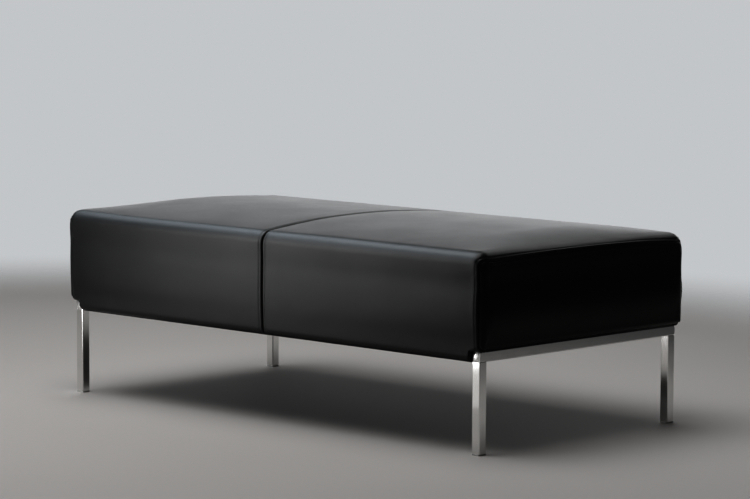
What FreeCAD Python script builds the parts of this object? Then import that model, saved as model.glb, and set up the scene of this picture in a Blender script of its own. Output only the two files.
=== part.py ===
import FreeCAD, Part
import math
import os
import Sketcher

Vector = FreeCAD.Vector
Rotation = FreeCAD.Rotation
doc = FreeCAD.newDocument("upholstered_bench")

# Driving sizes, in millimetres, degrees and counts
sizes = {
    "bench_length": 1200,
    "bench_width": 620,
    "seat_height": 410,
    "crown": 17,
    "crown_run": 130,
    "end_drop": 32,
    "top_edge_radius": 27,
    "end_edge_radius": 25,
    "corner_edge_radius": 20,
    "corner_ease": 0.3,
    "bottom_edge_radius": 13,
    "side_draw": 2.5,
    "side_hollow": 1.5,
    "side_taper": 2,
    "seam_dip": 2.2,
    "seam_shoulder": 14,
    "end_seam_inset": 2,
    "leather": 1.5,
    "leather_flap": 35,
    "side_foam": 19,
    "end_foam": 12.5,
    "leg_clear": 180,
    "leg_end_inset": 14,
    "leg_side_inset": 14.5,
    "tube": 20,
    "tube_wall": 2,
    "tube_edge": 2,
    "frame_gap": 0.5,
    "cap_flange": 2,
    "cap_dome": 2.5,
    "cap_sphere": 22,
    "cap_plug": 16,
    "glide_flange": 3,
    "glide_plug": 16,
    "glide_wall": 2.5,
    "glide_chamfer": 0.8,
    "glide_clearance": 0.2,
    "board": 22,
    "rail_height": 110,
    "deck": 15,
    "vent_diameter": 30,
    "vent_columns": 6,
    "vent_rows": 2,
    "corner_block_leg": 60,
    "corner_block_height": 90,
    "dust_cloth": 0.8,
    "dust_inset": 17,
    "bolt_diameter": 6,
    "bolt_clearance": 0.25,
    "bolt_pitch": 400,
    "bolt_head_diameter": 10.5,
    "bolt_head_height": 3.3,
    "bolt_socket": 4,
    "bolt_socket_depth": 2,
    "access_diameter": 12.5,
    "washer_diameter": 12,
    "washer_thickness": 1.2,
    "insert_diameter": 10,
    "insert_length": 13,
    "screw_diameter": 4.5,
    "screw_head_diameter": 9,
    "screw_length": 40,
    "screw_tip": 6,
    "screw_edge": 30,
    "bearer_screws": 4,
    "deck_screws": 4,
}

# Lengths and levels that follow from the driving sizes
follows = {
    "half_length": "Sizes.bench_length / 2",
    "half_width": "Sizes.bench_width / 2",
    "edge_top": "Sizes.seat_height - Sizes.crown",
    "frame_x": "half_length - Sizes.leg_end_inset - Sizes.tube",
    "frame_mid": "frame_x + Sizes.tube / 2",
    "frame_y": "half_width - Sizes.leg_side_inset",
    "leg_length": "Sizes.leg_clear - Sizes.glide_flange",
    "rail_reach": "frame_y - Sizes.cap_flange",
    "rail_span": "2 * rail_reach",
    "bore": "Sizes.tube - 2 * Sizes.tube_wall",
    "bore_high": "Sizes.tube - Sizes.tube_wall",
    "tube_mid": "Sizes.tube / 2",
    "bolt_near": "rail_reach - Sizes.bolt_pitch / 2",
    "bolt_far": "rail_reach + Sizes.bolt_pitch / 2",
    "bolt_hole_radius": "Sizes.bolt_diameter / 2 + Sizes.bolt_clearance",
    "access_radius": "Sizes.access_diameter / 2",
    "access_reach": "Sizes.tube / 2",
    "plug_low": "Sizes.tube_wall + Sizes.glide_clearance",
    "plug_high": "Sizes.tube - plug_low",
    "plug_top": "Sizes.glide_flange + Sizes.glide_plug",
    "cup_low": "plug_low + Sizes.glide_wall",
    "cup_high": "Sizes.tube - cup_low",
    "cup_depth": "Sizes.glide_plug - Sizes.glide_wall",
    "cap_depth": "Sizes.cap_flange + Sizes.cap_dome",
    "cap_end": "-Sizes.cap_plug",
    "cap_cup_depth": "Sizes.cap_plug - Sizes.glide_wall",
    "ledge": "Sizes.leg_clear + Sizes.tube",
    "step": "frame_x - Sizes.frame_gap",
    "carcass_x": "half_length - Sizes.leather - Sizes.end_foam",
    "carcass_y": "half_width - Sizes.leather - Sizes.side_foam",
    "carcass_low": "Sizes.leg_clear + Sizes.leather",
    "carcass_top": "carcass_low + Sizes.rail_height",
    "corner_block_low": "carcass_top - Sizes.corner_block_height",
    "deck_top": "carcass_top + Sizes.deck",
    "deck_length": "2 * carcass_x",
    "deck_width": "2 * carcass_y",
    "bearer_low": "ledge + Sizes.leather",
    "bearer_height": "carcass_top - bearer_low",
    "bearer_thickness": "carcass_x - box_x",
    "box_x": "step - Sizes.leather",
    "box_length": "2 * box_x",
    "end_rail_x": "box_x - Sizes.board",
    "inside_y": "carcass_y - Sizes.board",
    "inside_width": "2 * inside_y",
    "dust_length": "2 * (box_x - Sizes.frame_gap)",
    "dust_width": "2 * (half_width - Sizes.dust_inset)",
    "dust_x": "dust_length / 2",
    "dust_y": "dust_width / 2",
    "dust_z": "Sizes.leg_clear - Sizes.dust_cloth",
}

sheet = doc.addObject("Spreadsheet::Sheet", "Sizes")
for row, (alias, value) in enumerate(sizes.items(), start=1):
    sheet.set(f"A{row}", alias)
    sheet.set(f"B{row}", str(value))
    sheet.setAlias(f"B{row}", alias)

plan = doc.addObject("Spreadsheet::Sheet", "Plan")
for row, alias in enumerate(follows, start=1):
    plan.set(f"A{row}", alias)
    plan.setAlias(f"B{row}", alias)
for row, formula in enumerate(follows.values(), start=1):
    plan.set(f"B{row}", "=" + formula)
doc.recompute()


def size(alias):
    holder = sheet if alias in sizes else plan
    return float(holder.get(alias))


def cell(alias):
    holder = sheet if alias in sizes else plan
    return f"{holder.Name}.{alias}"


# Every finished piece, by the name of its node
pieces = {}


def keep(item, node):
    item.Label = node
    pieces[node] = item
    return item


def place(item, x, y, z):
    for axis, formula in zip("xyz", (x, y, z)):
        item.setExpression(f"Placement.Base.{axis}", formula)


def mirrored(source, node, normal):
    copy = doc.addObject("Part::Mirroring", node)
    copy.Source = source
    copy.Normal = normal
    return keep(copy, node)


across = Vector(1, 0, 0)
along = Vector(0, 1, 0)
upward = Vector(0, 0, 1)

# Shorter than any edge of the bench, and the steps of each loft
touch = 1e-4
section_steps = 4


# Sketch and feature helpers


def new_body(name):
    return doc.addObject("PartDesign::Body", name)


def new_sketch(body, name, role, offset=None):
    plane = next(item for item in body.Origin.OriginFeatures if item.Role == role)
    sketch = body.newObject("Sketcher::SketchObject", name)
    sketch.AttachmentSupport = (plane, [""])
    sketch.MapMode = "FlatFace"
    if offset:
        sketch.setExpression("AttachmentOffset.Base.z", cell(offset))
    return sketch


# A coordinate is an alias of the sheets, or None on the axis itself
def number(alias):
    return size(alias) if alias else 0.0


def pin_point(sketch, geometry, end, corner):
    for kind, axis, alias in (("DistanceX", -2, corner[0]), ("DistanceY", -1, corner[1])):
        if alias is None:
            sketch.addConstraint(Sketcher.Constraint("PointOnObject", geometry, end, axis))
            continue
        index = sketch.addConstraint(Sketcher.Constraint(kind, -1, 1, geometry, end, size(alias)))
        sketch.setExpression(f"Constraints[{index}]", cell(alias))


# Closed outline of straight lines, anticlockwise
def add_outline(sketch, corners):
    points = [Vector(number(u), number(v), 0) for u, v in corners]
    count = len(points)
    for k in range(count):
        sketch.addGeometry(Part.LineSegment(points[k], points[(k + 1) % count]))
    for k in range(count):
        sketch.addConstraint(Sketcher.Constraint("Coincident", k - 1 if k else count - 1, 2, k, 1))
        pin_point(sketch, k, 1, corners[k])


def add_rectangle(sketch, low, high):
    add_outline(sketch, [(low[0], low[1]), (high[0], low[1]), (high[0], high[1]), (low[0], high[1])])


def add_circle(sketch, middle, radius):
    circle = Part.Circle(Vector(number(middle[0]), number(middle[1]), 0), upward, size(radius))
    k = sketch.addGeometry(circle)
    pin_point(sketch, k, 3, middle)
    index = sketch.addConstraint(Sketcher.Constraint("Radius", k, size(radius)))
    sketch.setExpression(f"Constraints[{index}]", cell(radius))


def add_pad(body, sketch, length, backwards=False):
    pad = body.newObject("PartDesign::Pad", sketch.Name + "_pad")
    pad.Profile = sketch
    pad.Reversed = backwards
    pad.setExpression("Length", cell(length))
    doc.recompute()
    return pad


# A pocket cuts upwards from its sketch, or downwards, and has to take some of the body away
def add_pocket(body, sketch, length=None, down=False):
    before = body.Shape.Volume
    pocket = body.newObject("PartDesign::Pocket", sketch.Name + "_pocket")
    pocket.Profile = sketch
    pocket.Reversed = not down
    if length:
        pocket.setExpression("Length", cell(length))
    else:
        pocket.Type = "ThroughAll"
    doc.recompute()
    if body.Shape.Volume >= before:
        raise RuntimeError(f"{pocket.Name} cuts nothing")


def add_dress(body, kind, name, base, edges, prop, alias):
    dress = body.newObject(kind, name)
    dress.Base = (base, edges)
    dress.setExpression(prop, cell(alias))
    doc.recompute()
    return dress


def edge_names(feature, wanted):
    return [f"Edge{k}" for k, edge in enumerate(feature.Shape.Edges, start=1) if wanted(edge.BoundBox)]


def boolean(kind, name, base, tool):
    item = doc.addObject(kind, name)
    item.Base = base
    item.Tool = tool
    return item


# End frame: a rail of square tube that lies on two legs and is welded to them, right side
def build_rails():
    body = keep(new_body("right_frame_rail"), "right_frame_rail")
    place(body, cell("frame_x"), "-" + cell("rail_reach"), cell("leg_clear"))
    outer = new_sketch(body, "rail_outline", "YZ_Plane")
    add_rectangle(outer, (None, None), ("rail_span", "tube"))
    pad = add_pad(body, outer, "tube")
    long_edges = edge_names(pad, lambda box: box.XLength < touch and box.ZLength < touch)
    add_dress(body, "PartDesign::Fillet", "rail_edges", pad, long_edges, "Radius", "tube_edge")
    bore = new_sketch(body, "rail_bore", "YZ_Plane", "tube_wall")
    add_rectangle(bore, (None, "tube_wall"), ("rail_span", "bore_high"))
    add_pocket(body, bore, "bore")
    bolt_holes = new_sketch(body, "rail_bolt_holes", "XY_Plane")
    access_holes = new_sketch(body, "rail_access_holes", "XY_Plane")
    for spot in ("bolt_near", "bolt_far"):
        add_circle(bolt_holes, ("tube_mid", spot), "bolt_hole_radius")
        add_circle(access_holes, ("tube_mid", spot), "access_radius")
    add_pocket(body, bolt_holes)
    add_pocket(body, access_holes, "access_reach")
    mirrored(body, "left_frame_rail", across)


# The same piece at all four corners
def four_corners(right_front, name):
    right_back = mirrored(right_front, f"right_back_{name}", along)
    mirrored(right_front, f"left_front_{name}", across)
    mirrored(right_back, f"left_back_{name}", across)


def build_legs():
    body = keep(new_body("right_front_leg"), "right_front_leg")
    place(body, cell("frame_x"), "-" + cell("frame_y"), cell("glide_flange"))
    outer = new_sketch(body, "leg_outline", "XY_Plane")
    add_rectangle(outer, (None, None), ("tube", "tube"))
    pad = add_pad(body, outer, "leg_length")
    uprights = edge_names(pad, lambda box: box.ZLength > touch)
    add_dress(body, "PartDesign::Fillet", "leg_edges", pad, uprights, "Radius", "tube_edge")
    bore = new_sketch(body, "leg_bore", "XY_Plane")
    add_rectangle(bore, ("tube_wall", "tube_wall"), ("bore_high", "bore_high"))
    add_pocket(body, bore)
    four_corners(body, "leg")


# Domed cap that closes an end of the rail, with a hollow plug inside the tube
def build_caps():
    body = new_body("cap_blank")
    place(body, cell("frame_x"), "-" + cell("rail_reach"), cell("leg_clear"))
    flange = new_sketch(body, "cap_outline", "XZ_Plane")
    add_rectangle(flange, (None, None), ("tube", "tube"))
    pad = add_pad(body, flange, "cap_depth")
    long_edges = edge_names(pad, lambda box: box.YLength > touch)
    add_dress(body, "PartDesign::Fillet", "cap_corners", pad, long_edges, "Radius", "tube_edge")
    plug = new_sketch(body, "cap_plug_outline", "XZ_Plane")
    add_rectangle(plug, ("plug_low", "plug_low"), ("plug_high", "plug_high"))
    add_pad(body, plug, "cap_plug", backwards=True)
    cup = new_sketch(body, "cap_cup_outline", "XZ_Plane", "cap_end")
    add_rectangle(cup, ("cup_low", "cup_low"), ("cup_high", "cup_high"))
    add_pocket(body, cup, "cap_cup_depth")
    dome = doc.addObject("Part::Sphere", "cap_dome_ball")
    dome.setExpression("Radius", cell("cap_sphere"))
    apex = f"-{cell('rail_reach')} - {cell('cap_depth')}"
    place(dome, cell("frame_mid"), f"{apex} + {cell('cap_sphere')}", f"{cell('leg_clear')} + {cell('tube_mid')}")
    cap = keep(boolean("Part::Common", "right_front_cap", body, dome), "right_front_cap")
    four_corners(cap, "cap")


# Foot glide: a flange under the tube and a hollow plug inside it
def build_glides():
    body = keep(new_body("right_front_glide"), "right_front_glide")
    place(body, cell("frame_x"), "-" + cell("frame_y"), "0")
    flange = new_sketch(body, "glide_flange_outline", "XY_Plane")
    add_rectangle(flange, (None, None), ("tube", "tube"))
    pad = add_pad(body, flange, "glide_flange")
    uprights = edge_names(pad, lambda box: box.ZLength > touch)
    rounded = add_dress(body, "PartDesign::Fillet", "glide_corners", pad, uprights, "Radius", "tube_edge")
    rim = edge_names(rounded, lambda box: box.ZMax < touch)
    add_dress(body, "PartDesign::Chamfer", "glide_rim", rounded, rim, "Size", "glide_chamfer")
    plug = new_sketch(body, "glide_plug_outline", "XY_Plane", "glide_flange")
    add_rectangle(plug, ("plug_low", "plug_low"), ("plug_high", "plug_high"))
    add_pad(body, plug, "glide_plug")
    cup = new_sketch(body, "glide_cup_outline", "XY_Plane", "plug_top")
    add_rectangle(cup, ("cup_low", "cup_low"), ("cup_high", "cup_high"))
    add_pocket(body, cup, "cup_depth", down=True)
    four_corners(body, "glide")


# A row of count places, evenly spread between two ends
def spread(count, reach):
    count = int(count)
    if count == 1:
        return [0.0]
    return [reach * (2 * k / (count - 1) - 1) for k in range(count)]


# Solid turned about Z from its half outline
def turned(outline):
    points = [Vector(radius, 0, height) for radius, height in outline]
    return Part.Face(Part.makePolygon(points + points[:1])).revolve(Vector(), upward, 360)


# Prism over a regular hexagon, measured across its flats
def hexagon(flats, height):
    radius = flats / math.sqrt(3)
    angles = [k * math.pi / 3 for k in range(7)]
    points = [Vector(radius * math.cos(a), radius * math.sin(a), 0) for a in angles]
    return Part.Face(Part.makePolygon(points)).extrude(upward * height)


# Copies of one solid, as separate solids of one node
def group(node, master, placements):
    item = doc.addObject("Part::Feature", node)
    copies = []
    for placement in placements:
        copy = master.copy()
        copy.Placement = placement
        copies.append(copy)
    item.Shape = Part.makeCompound(copies)
    return keep(item, node)


def bolt_places(level):
    spots = []
    for x in (-size("frame_mid"), size("frame_mid")):
        for y in (-size("bolt_pitch") / 2, size("bolt_pitch") / 2):
            spots.append(FreeCAD.Placement(Vector(x, y, level), Rotation()))
    return spots


def build_bolts():
    shank = size("bolt_diameter") / 2
    head = size("bolt_head_diameter") / 2
    head_height = size("bolt_head_height")
    wall_low = size("ledge") - size("tube_wall")
    seat = wall_low - size("washer_thickness")
    reach = size("bearer_low") + size("insert_length") - seat
    head_outline = [(0, -head_height), (shank, -head_height), (head, 0)]
    bolt = turned(head_outline + [(shank, 0), (shank, reach), (0, reach)])
    socket = hexagon(size("bolt_socket"), size("bolt_socket_depth"))
    socket.translate(Vector(0, 0, -head_height))
    group("frame_bolts", bolt.cut(socket), bolt_places(seat))
    hole = size("bolt_hole_radius")
    rim = size("washer_diameter") / 2
    thick = size("washer_thickness")
    washer = turned([(hole, 0), (rim, 0), (rim, thick), (hole, thick)])
    group("bolt_washers", washer, bolt_places(seat))
    outside = size("insert_diameter") / 2
    length = size("insert_length")
    insert = turned([(shank, 0), (outside, 0), (outside, length), (shank, length)])
    group("threaded_inserts", insert, bolt_places(size("bearer_low")))


# One kind of countersunk screw holds the rails, the bearers and the deck
def screw_places():
    spots = []
    edge = size("screw_edge")
    inward = {-1: Rotation(upward, along), 1: Rotation(upward, -along)}
    low = size("carcass_low") + edge
    high = size("carcass_top") - edge
    cross_middle = size("box_x") - size("board") / 2
    for x in (-cross_middle, 0, cross_middle):
        for side, turn in inward.items():
            for z in (low, high):
                spots.append(FreeCAD.Placement(Vector(x, side * size("carcass_y"), z), turn))
    bearer_middle = size("bearer_low") + size("bearer_height") / 2
    for side in (-1, 1):
        turn = Rotation(upward, side * across)
        for y in spread(size("bearer_screws"), size("inside_y") - size("corner_block_leg") - edge):
            spots.append(FreeCAD.Placement(Vector(side * size("end_rail_x"), y, bearer_middle), turn))
    down = Rotation(across, 180)
    rail_middle = size("carcass_y") - size("board") / 2
    for side in (-1, 1):
        for x in spread(size("deck_screws"), size("end_rail_x") - edge):
            spots.append(FreeCAD.Placement(Vector(x, side * rail_middle, size("deck_top")), down))
    return spots


def build_screws():
    shank = size("screw_diameter") / 2
    head = size("screw_head_diameter") / 2
    length = size("screw_length")
    neck = head - shank
    tip = length - size("screw_tip")
    screw = turned([(0, 0), (head, 0), (shank, neck), (shank, tip), (0, length)])
    return group("wood_screws", screw, screw_places())


def board(name, lengths, corner):
    box = doc.addObject("Part::Box", name + "_board")
    for prop, formula in zip(("Length", "Width", "Height"), lengths):
        box.setExpression(prop, formula)
    place(box, *corner)
    return box


def drilled(node, base, tool):
    return keep(boolean("Part::Cut", node, base, tool), node)


# Timber carcass: a box of rails, with a bearer outside each end that sits on the frame rail
def build_carcass(screws):
    low = cell("carcass_low")
    tall = cell("rail_height")
    thick = cell("board")
    front = board(
        "front_rail",
        (cell("box_length"), thick, tall),
        ("-" + cell("box_x"), "-" + cell("carcass_y"), low),
    )
    front_rail = drilled("front_rail", front, screws)
    mirrored(front_rail, "back_rail", along)
    end = board(
        "right_end_rail",
        (thick, cell("inside_width"), tall),
        (cell("end_rail_x"), "-" + cell("inside_y"), low),
    )
    end_rail = drilled("right_end_rail", end, screws)
    mirrored(end_rail, "left_end_rail", across)
    centre = board(
        "centre_rail",
        (thick, cell("inside_width"), tall),
        (f"-{thick} / 2", "-" + cell("inside_y"), low),
    )
    drilled("centre_rail", centre, screws)
    bearer = board(
        "right_bearer",
        (cell("bearer_thickness"), cell("deck_width"), cell("bearer_height")),
        (cell("box_x"), "-" + cell("carcass_y"), cell("bearer_low")),
    )
    fixings = doc.addObject("Part::Compound", "bearer_fixings")
    fixings.Links = [screws, pieces["threaded_inserts"], pieces["frame_bolts"]]
    right_bearer = drilled("right_bearer", bearer, fixings)
    mirrored(right_bearer, "left_bearer", across)


# Triangular blocks glued into the corners of the box
def build_corner_blocks():
    body = keep(new_body("right_back_corner_block"), "right_back_corner_block")
    body.Placement = FreeCAD.Placement(Vector(), Rotation(upward, 180))
    place(body, cell("end_rail_x"), cell("inside_y"), cell("corner_block_low"))
    sketch = new_sketch(body, "corner_block_outline", "XY_Plane")
    add_outline(sketch, [(None, None), ("corner_block_leg", None), (None, "corner_block_leg")])
    add_pad(body, sketch, "corner_block_height")
    front = mirrored(body, "right_front_corner_block", along)
    mirrored(body, "left_back_corner_block", across)
    mirrored(front, "left_front_corner_block", across)


# Plywood deck with vent holes, so that air leaves the foam
def build_deck(screws):
    body = new_body("seat_deck_panel")
    place(body, "-" + cell("carcass_x"), "-" + cell("carcass_y"), cell("carcass_top"))
    outline = new_sketch(body, "deck_outline", "XY_Plane")
    add_rectangle(outline, (None, None), ("deck_length", "deck_width"))
    add_pad(body, outline, "deck")
    vents = new_sketch(body, "deck_vents", "XY_Plane")
    columns = int(size("vent_columns"))
    rows = int(size("vent_rows"))
    for i in range(columns):
        for j in range(rows):
            add_vent(vents, (i + 0.5) / columns, (j + 0.5) / rows)
    add_pocket(body, vents)
    drilled("seat_deck", body, screws)


def add_vent(sketch, share_x, share_y):
    radius = size("vent_diameter") / 2
    middle = Vector(share_x * size("deck_length"), share_y * size("deck_width"), 0)
    k = sketch.addGeometry(Part.Circle(middle, upward, radius))
    for kind, value, formula in (
        ("DistanceX", middle.x, f"{cell('deck_length')} * {share_x}"),
        ("DistanceY", middle.y, f"{cell('deck_width')} * {share_y}"),
    ):
        index = sketch.addConstraint(Sketcher.Constraint(kind, -1, 1, k, 3, value))
        sketch.setExpression(f"Constraints[{index}]", formula)
    index = sketch.addConstraint(Sketcher.Constraint("Radius", k, radius))
    sketch.setExpression(f"Constraints[{index}]", f"{cell('vent_diameter')} / 2")


# The upholstered body is lofted for its right half. depth is how far a surface lies under the leather's face.


def arc_edge(middle, radius, first, last):
    angles = (first, (first + last) / 2, last)
    points = [middle + Vector(0, radius * math.cos(a), radius * math.sin(a)) for a in angles]
    return Part.Arc(*points).toShape()


# One cross section: crowned top, rolled top edges, hollow sides that taper in, rolled bottom edges
def cushion_section(x, half_width, edge_top, mid_top, bottom, top_radius, bottom_radius):
    reach = half_width - top_radius
    rise = mid_top - edge_top
    crown_radius = (reach ** 2 + rise ** 2) / (2 * rise)
    crown_low = mid_top - crown_radius
    shoulder = crown_low + math.sqrt((crown_radius - top_radius) ** 2 - reach ** 2)
    turn = math.atan2(shoulder - crown_low, reach)
    foot = half_width - size("side_taper")
    side_low = Vector(x, foot, bottom + bottom_radius)
    side_high = Vector(x, half_width, shoulder)
    side_mid = (side_low + side_high) / 2 - along * size("side_hollow")
    other_side = [Vector(x, -p.y, p.z) for p in (side_high, side_mid, side_low)]
    flat = foot - bottom_radius
    low_level = bottom + bottom_radius
    quarter = math.pi / 2
    return Part.Wire(
        [
            Part.LineSegment(Vector(x, -flat, bottom), Vector(x, flat, bottom)).toShape(),
            arc_edge(Vector(x, flat, low_level), bottom_radius, -quarter, 0),
            Part.Arc(side_low, side_mid, side_high).toShape(),
            arc_edge(Vector(x, reach, shoulder), top_radius, 0, turn),
            arc_edge(Vector(x, 0, crown_low), crown_radius, turn, math.pi - turn),
            arc_edge(Vector(x, -reach, shoulder), top_radius, math.pi - turn, math.pi),
            Part.Arc(*other_side).toShape(),
            arc_edge(Vector(x, -flat, low_level), bottom_radius, math.pi, 3 * quarter),
        ]
    )


# Drop of a quarter ellipse at x, from its start to its end
def roll(x, start, run, drop):
    share = min(max((x - start) / run, 0), 1)
    return drop * (1 - math.sqrt(1 - share ** 2))


def section_at(x, depth, on_ledge):
    half_length = size("half_length")
    end_radius = size("end_edge_radius") - depth
    end_roll = roll(x, half_length - size("end_edge_radius"), end_radius, end_radius)
    corner_radius = size("corner_edge_radius") - depth
    corner_roll = roll(x, half_length - size("corner_edge_radius"), corner_radius, corner_radius)
    crown_run = size("crown_run")
    crown_fall = roll(x, half_length - crown_run, crown_run - depth, size("end_drop") - depth)
    seam = size("seam_dip") * max(1 - x / size("seam_shoulder"), 0) ** 2
    draw = size("side_draw") * (1 - (x / half_length) ** 4)
    bottom_radius = size("bottom_edge_radius") - depth
    bottom = size("ledge") if on_ledge else size("leg_clear")
    bottom += depth
    if on_ledge:
        bottom += roll(x, half_length - size("bottom_edge_radius"), bottom_radius, bottom_radius)
    return cushion_section(
        x,
        size("half_width") - depth - draw - corner_roll - seam,
        size("edge_top") - depth - end_roll - seam,
        size("seat_height") - depth - crown_fall - seam,
        bottom,
        size("top_edge_radius") - depth - size("corner_ease") * end_roll,
        bottom_radius,
    )


# Places from start to end: even steps, or crowded towards the end as on a quarter circle
def stations(start, end, steps, rounded):
    shares = [k / steps for k in range(steps + 1)]
    if rounded:
        shares = [math.sin(share * math.pi / 2) for share in shares]
    return [start + (end - start) * share for share in shares]


# Lofts between the places where the form changes, so that none of them swings past its sections
def cushion_form(depth):
    half_length = size("half_length")
    step = size("step") - depth
    end = half_length - depth
    changes = [
        0,
        size("seam_shoulder"),
        half_length - size("crown_run"),
        step,
        half_length - size("end_edge_radius"),
        half_length - size("corner_edge_radius"),
        half_length - size("bottom_edge_radius"),
        end,
    ]
    changes.sort()
    lofts = []
    for start, stop in zip(changes, changes[1:]):
        if stop - start < touch:
            continue
        xs = stations(start, stop, section_steps, stop == end)
        wires = [section_at(x, depth, start >= step) for x in xs]
        lofts.append(Part.makeLoft(wires, True, False))
    return lofts[0].fuse(lofts[1:])


def block(low, high):
    return Part.makeBox(high[0] - low[0], high[1] - low[1], high[2] - low[2], Vector(*low))


def soft(node, shape):
    item = doc.addObject("Part::Feature", node)
    item.Shape = shape
    return keep(item, node)


# Leather: a cover over the front, top and back of each half, and a panel on each end with its own flap
def build_leather(outer, inner):
    shell = outer.cut(inner)
    half_length = size("half_length")
    half_width = size("half_width")
    ledge = size("ledge")
    far = size("bench_length")
    panel_y = half_width - size("end_edge_radius") - size("end_seam_inset")
    face = block((half_length - size("end_seam_inset"), -far, 0), (far, far, far))
    flap = block(
        (size("step"), -panel_y, size("leg_clear")),
        (far, panel_y, ledge + size("bottom_edge_radius")),
    )
    panel_zone = face.fuse(flap)
    opening_y = half_width - size("leather_flap")
    opening = block((-far, -opening_y, 0), (size("step"), opening_y, ledge))
    cover = soft("right_cover", shell.cut(panel_zone).cut(opening))
    bolt_holes = [Part.makeCylinder(size("bolt_hole_radius"), far, spot.Base) for spot in bolt_places(0)]
    under = block((0, -far, 0), (half_length - size("bottom_edge_radius"), far, size("bearer_low")))
    holes = Part.makeCompound(bolt_holes).common(under)
    panel = soft("right_end_panel", shell.common(panel_zone).cut(opening).cut(holes))
    mirrored(cover, "left_cover", across)
    mirrored(panel, "left_end_panel", across)


# Foam: a crowned slab on the deck, and a thin layer on each upright face of the carcass
def build_foam(inner):
    far = size("bench_length")
    deck_top = size("deck_top")
    whole = inner.fuse(inner.mirror(Vector(), across))
    soft("seat_foam", whole.common(block((-far, -far, deck_top), (far, far, far))))
    front = soft("front_foam", whole.common(block((-far, -far, 0), (far, -size("carcass_y"), deck_top))))
    mirrored(front, "back_foam", along)
    end_zone = block((size("carcass_x"), -size("carcass_y"), 0), (far, size("carcass_y"), deck_top))
    end = soft("right_foam", inner.common(end_zone))
    mirrored(end, "left_foam", across)


def build_dust_cover():
    sheet_box = doc.addObject("Part::Box", "dust_cover")
    for prop, alias in (("Length", "dust_length"), ("Width", "dust_width"), ("Height", "dust_cloth")):
        sheet_box.setExpression(prop, cell(alias))
    place(sheet_box, "-" + cell("dust_x"), "-" + cell("dust_y"), cell("dust_z"))
    keep(sheet_box, "dust_cover")


def build():
    build_rails()
    build_legs()
    build_caps()
    build_glides()
    build_bolts()
    screws = build_screws()
    build_carcass(screws)
    build_corner_blocks()
    build_deck(screws)
    outer = cushion_form(0)
    inner = cushion_form(size("leather"))
    build_leather(outer, inner)
    build_foam(inner)
    build_dust_cover()
    doc.recompute()


def check():
    for item in doc.Objects:
        if "Invalid" in item.State or "Error" in item.State:
            raise RuntimeError(f"{item.Label} failed: {item.State}")
    for node, item in pieces.items():
        if item.Shape.isNull() or not item.Shape.isValid() or not item.Shape.Solids:
            raise RuntimeError(f"{node} has no valid solid")


def write():
    os.makedirs("parts", exist_ok=True)
    for node, item in pieces.items():
        item.Shape.exportStep(f"parts/{node}.step")
        print(f"{node}: {len(item.Shape.Solids)} solids, {item.Shape.Volume:.0f} mm3")


build()
check()
write()
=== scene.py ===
import math
import random

import bpy
import numpy as np
from mathutils import Matrix, Vector, noise
from mathutils.bvhtree import BVHTree


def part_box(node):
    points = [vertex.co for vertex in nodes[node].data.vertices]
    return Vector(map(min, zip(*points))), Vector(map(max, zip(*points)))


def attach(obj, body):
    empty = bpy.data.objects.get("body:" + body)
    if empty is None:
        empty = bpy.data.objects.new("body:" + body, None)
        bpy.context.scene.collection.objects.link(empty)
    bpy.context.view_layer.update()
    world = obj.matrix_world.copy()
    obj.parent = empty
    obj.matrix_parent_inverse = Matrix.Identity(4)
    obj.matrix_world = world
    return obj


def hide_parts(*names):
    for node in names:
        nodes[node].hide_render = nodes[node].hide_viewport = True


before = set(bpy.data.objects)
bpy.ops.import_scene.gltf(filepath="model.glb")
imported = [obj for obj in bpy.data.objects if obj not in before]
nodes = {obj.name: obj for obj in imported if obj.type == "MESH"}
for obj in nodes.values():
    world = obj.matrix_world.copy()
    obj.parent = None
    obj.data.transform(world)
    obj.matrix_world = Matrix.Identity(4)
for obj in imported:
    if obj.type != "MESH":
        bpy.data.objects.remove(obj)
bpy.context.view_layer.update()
print("frame loaded:", len(nodes), "nodes")

mm = 0.001


class Wire:  # one output socket, so that shader maths reads as plain expressions
    def __init__(self, net, socket):
        self.net = net
        self.socket = socket

    def maths(self, operation, first, second):
        return self.net.node("ShaderNodeMath", {"operation": operation}, {0: first, 1: second})

    def __add__(self, other):
        return self.maths("ADD", self, other)

    def __radd__(self, other):
        return self.maths("ADD", other, self)

    def __sub__(self, other):
        return self.maths("SUBTRACT", self, other)

    def __rsub__(self, other):
        return self.maths("SUBTRACT", other, self)

    def __mul__(self, other):
        return self.maths("MULTIPLY", self, other)

    def __rmul__(self, other):
        return self.maths("MULTIPLY", other, self)

    def __truediv__(self, other):
        return self.maths("DIVIDE", self, other)

    def __rtruediv__(self, other):
        return self.maths("DIVIDE", other, self)

    def __mod__(self, other):
        return self.maths("FLOORED_MODULO", self, other)


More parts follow.
